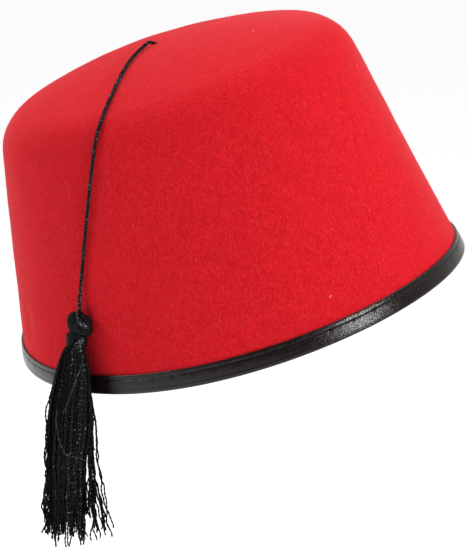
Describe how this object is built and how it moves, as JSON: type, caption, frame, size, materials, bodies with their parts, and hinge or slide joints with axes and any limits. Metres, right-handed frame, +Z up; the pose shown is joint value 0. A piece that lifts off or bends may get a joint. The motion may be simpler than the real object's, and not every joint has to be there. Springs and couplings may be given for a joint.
{
  "type": "fez",
  "caption": "Red felt fez tilted as worn: hollow tapered crown with a rounded shoulder, glossy black rim binding, and a black tassel on a twisted cord from the top.",
  "frame": {"origin": "middle of the head opening, in the plane of the rim, where a head enters", "axes": "+Z is up with the tassel hanging plumb. The hat leans back 16.7 degrees towards -X, so its rim is low at -X and high at +X, and the tassel hangs at -X -Y."},
  "size_m": [0.1938, 0.1914, 0.205],
  "materials": {
    "red_felt": "matte needle felt with short fibres",
    "black_tape": "glossy imitation-leather tape with a fine grain",
    "cord_yarn": "twisted shiny yarn",
    "tassel_yarn": "twisted shiny yarn",
    "wrap_thread": "wound shiny thread"
  },
  "bodies": {
    "root": {"crown": "red_felt", "edge_binding": "black_tape", "tassel_cord": "cord_yarn", "cord_knot": "cord_yarn", "tassel": "tassel_yarn", "neck_wrap": "wrap_thread"}
  },
  "joints": []
}
